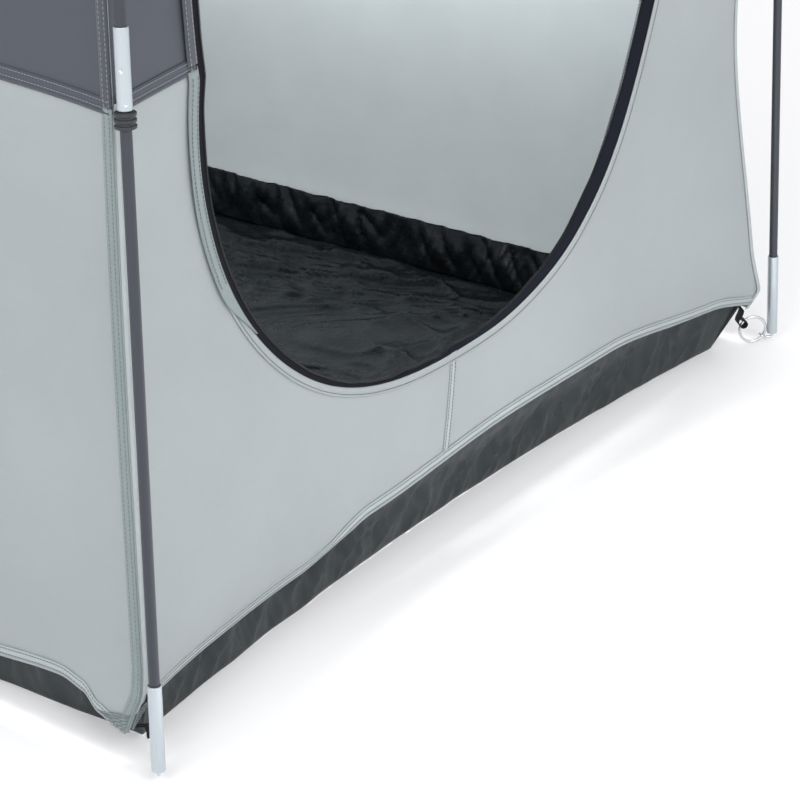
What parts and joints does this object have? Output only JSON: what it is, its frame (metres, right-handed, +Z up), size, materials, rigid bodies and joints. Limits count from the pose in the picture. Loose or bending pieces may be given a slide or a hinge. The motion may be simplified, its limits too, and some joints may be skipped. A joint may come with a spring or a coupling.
{
  "type": "privacy shower tent",
  "caption": "Tall square privacy shower tent on crossed flexible poles, with light lower walls, dark upper walls and roof, a tub floor and a roll-up zipped door.",
  "frame": {"origin": "on the ground under the crown, centre of the bounding box's base", "axes": "+Z up, the door wall faces -Y, +X to the right of someone facing the door from outside"},
  "size_m": [1.1426, 1.1426, 1.9854],
  "materials": {
    "fibreglass": "satin pultruded rod with fine lengthwise streaks",
    "steel_tube": "bright plated, fine drawn lines",
    "bright_wire": "bright plated wire",
    "shock_cord": "braided elastic",
    "black_webbing": "ribbed woven webbing",
    "black_plastic": "moulded, fine texture",
    "tub_fabric": "coated, glossy, crinkled",
    "light_fabric": "light grey polyester, fine weave",
    "dark_fabric": "dark grey polyester, fine weave",
    "mesh": "black no-see-um mesh",
    "zip_tape": "black herringbone tape with coil",
    "zip_metal": "black painted slider"
  },
  "bodies": {
    "tent": {"corner_pin_front_left": "bright_wire", "corner_pin_front_right": "bright_wire", "corner_pin_rear_left": "bright_wire", "corner_pin_rear_right": "bright_wire", "corner_webbing": "black_webbing", "crown_patch": "dark_fabric", "crown_strap": "black_webbing", "door_roll": "dark_fabric", "door_roll_ties": "dark_fabric", "door_storm_flap": "dark_fabric", "door_top_panel": "dark_fabric", "door_zip_tape": "zip_tape", "front_wall_lower": "light_fabric", "front_wall_upper": "dark_fabric", "hanging_loop": "black_webbing", "left_wall_lower": "light_fabric", "left_wall_upper": "dark_fabric", "pole_a_end_tubes": "steel_tube", "pole_a_ferrules": "steel_tube", "pole_a_rod_1": "fibreglass", "pole_a_rod_2": "fibreglass", "pole_a_rod_3": "fibreglass", "pole_a_rod_4": "fibreglass", "pole_a_rod_5": "fibreglass", "pole_a_rod_6": "fibreglass", "pole_a_rod_7": "fibreglass", "pole_a_rod_8": "fibreglass", "pole_a_shock_cord": "shock_cord", "pole_b_end_tubes": "steel_tube", "pole_b_ferrules": "steel_tube", "pole_b_rod_1": "fibreglass", "pole_b_rod_2": "fibreglass", "pole_b_rod_3": "fibreglass", "pole_b_rod_4": "fibreglass", "pole_b_rod_5": "fibreglass", "pole_b_rod_6": "fibreglass", "pole_b_rod_7": "fibreglass", "pole_b_rod_8": "fibreglass", "pole_b_shock_cord": "shock_cord", "pole_clips": "black_plastic", "pole_collars": "black_plastic", "rear_vent_mesh": "mesh", "rear_wall_lower": "light_fabric", "rear_wall_upper": "dark_fabric", "right_wall_lower": "light_fabric", "right_wall_upper": "dark_fabric", "roof_panels": "dark_fabric", "tub_floor": "tub_fabric", "tub_sides": "tub_fabric"},
    "ring_front_left": {"corner_ring_front_left": "bright_wire"},
    "ring_front_right": {"corner_ring_front_right": "bright_wire"},
    "ring_rear_right": {"corner_ring_rear_right": "bright_wire"},
    "ring_rear_left": {"corner_ring_rear_left": "bright_wire"},
    "slider_left": {"zip_slider_left": "zip_metal"},
    "pull_left": {"zip_pull_left": "zip_metal"},
    "slider_right": {"zip_slider_right": "zip_metal"},
    "pull_right": {"zip_pull_right": "zip_metal"},
    "hook_ring": {"hanging_ring": "bright_wire"}
  },
  "joints": [
    {"name": "front_left_ring_swing", "type": "hinge", "parent": "tent", "child": "ring_front_left", "pos_m": [-0.53716, -0.54814, 0.0186], "axis": [-0.5733, -0.5851, -0.5736], "range_deg": [-15, 15]},
    {"name": "front_right_ring_swing", "type": "hinge", "parent": "tent", "child": "ring_front_right", "pos_m": [0.54814, -0.53716, 0.0186], "axis": [0.5851, -0.5733, -0.5736], "range_deg": [-15, 15]},
    {"name": "rear_right_ring_swing", "type": "hinge", "parent": "tent", "child": "ring_rear_right", "pos_m": [0.53716, 0.54814, 0.0186], "axis": [0.5733, 0.5851, -0.5736], "range_deg": [-15, 15]},
    {"name": "rear_left_ring_swing", "type": "hinge", "parent": "tent", "child": "ring_rear_left", "pos_m": [-0.54814, 0.53716, 0.0186], "axis": [-0.5851, 0.5733, -0.5736], "range_deg": [-15, 15]},
    {"name": "left_zip_slide", "type": "slide", "parent": "tent", "child": "slider_left", "axis": [0, -0.0393, -0.9992], "range_m": [0, 0.7]},
    {"name": "left_pull_swing", "type": "hinge", "parent": "slider_left", "child": "pull_left", "pos_m": [-0.416, -0.46573, 1.37], "axis": [0, -1, 0], "range_deg": [0, 150]},
    {"name": "right_zip_slide", "type": "slide", "parent": "tent", "child": "slider_right", "axis": [0, -0.0395, -0.9992], "range_m": [0, 0.7]},
    {"name": "right_pull_swing", "type": "hinge", "parent": "slider_right", "child": "pull_right", "pos_m": [0.356, -0.4632, 1.37], "axis": [0, 1, 0], "range_deg": [0, 150]},
    {"name": "hanging_ring_swing", "type": "hinge", "parent": "tent", "child": "hook_ring", "pos_m": [0, 0, 1.92352], "axis": [1, 0, 0], "range_deg": [-60, 60]}
  ]
}
